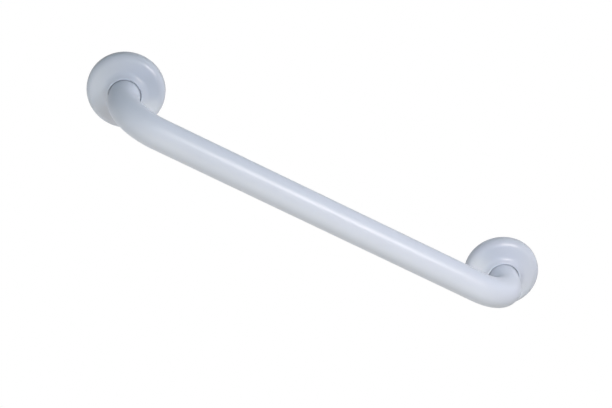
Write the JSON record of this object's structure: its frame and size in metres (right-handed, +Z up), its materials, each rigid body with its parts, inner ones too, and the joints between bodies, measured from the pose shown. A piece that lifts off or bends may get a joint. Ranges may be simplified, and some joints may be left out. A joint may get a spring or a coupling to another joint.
{
  "type": "grab bar",
  "caption": "Wall grab bar: a straight tube bent back at its ends to round screw-on wall plates, hidden by stepped covers that slide on the legs.",
  "frame": {"origin": "on the wall plane, midway between the two legs", "axes": "+X along the bar, +Y into the wall, +Z up; the room and the bar are at -Y"},
  "size_m": [0.53, 0.092, 0.08],
  "materials": {
    "bar_coat": "white gloss powder coat on steel, over the tube and the welded plates",
    "cover_coat": "white gloss powder coat on pressed steel sheet"
  },
  "bodies": {
    "bar": {"grab_tube": "bar_coat", "left_wall_plate": "bar_coat", "right_wall_plate": "bar_coat"},
    "left_cover": {"left_cover": "cover_coat"},
    "right_cover": {"right_cover": "cover_coat"}
  },
  "joints": [
    {"name": "left_cover_slide", "type": "slide", "parent": "bar", "child": "left_cover", "axis": [0, -1, 0], "range_m": [0, 0.017]},
    {"name": "right_cover_slide", "type": "slide", "parent": "bar", "child": "right_cover", "axis": [0, -1, 0], "range_m": [0, 0.017]}
  ]
}
